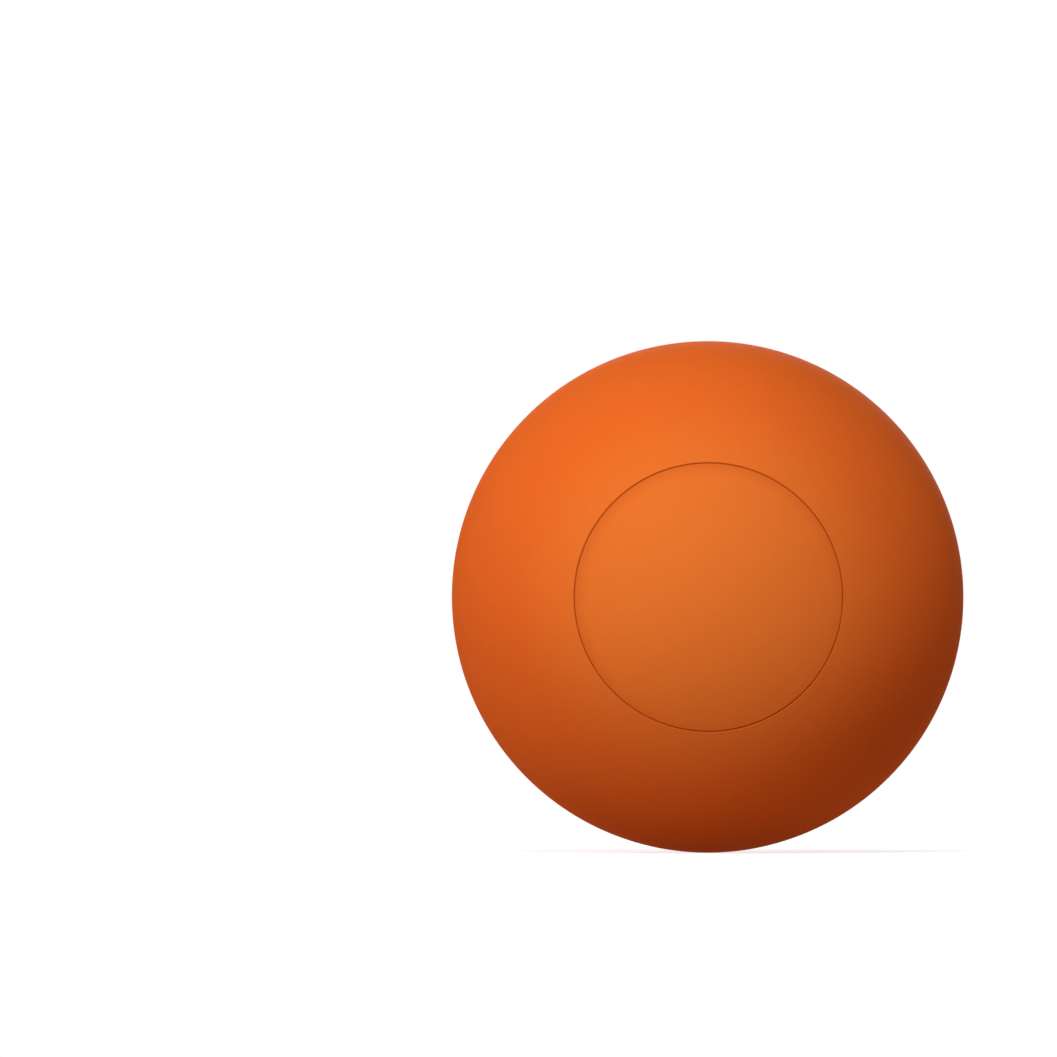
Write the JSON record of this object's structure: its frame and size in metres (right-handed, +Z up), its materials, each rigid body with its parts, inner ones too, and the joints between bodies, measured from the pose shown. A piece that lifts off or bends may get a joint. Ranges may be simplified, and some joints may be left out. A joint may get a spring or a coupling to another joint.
{
  "type": "lacrosse ball",
  "caption": "Round rubber lacrosse ball: a coloured cover over a plain core, with a shallow disc in a fine ring line at each pole and a ground parting line.",
  "frame": {"origin": "centre of the ball", "axes": "+Z up, +Y along the axis through the two poles, from the face with the wide ring line to the face with the narrow one"},
  "size_m": [0.0634, 0.0632, 0.0634],
  "materials": {
    "cover_rubber": "matte",
    "core_rubber": "matte"
  },
  "bodies": {
    "root": {"core": "core_rubber", "wide_ring_cover": "cover_rubber", "narrow_ring_cover": "cover_rubber"}
  },
  "joints": []
}
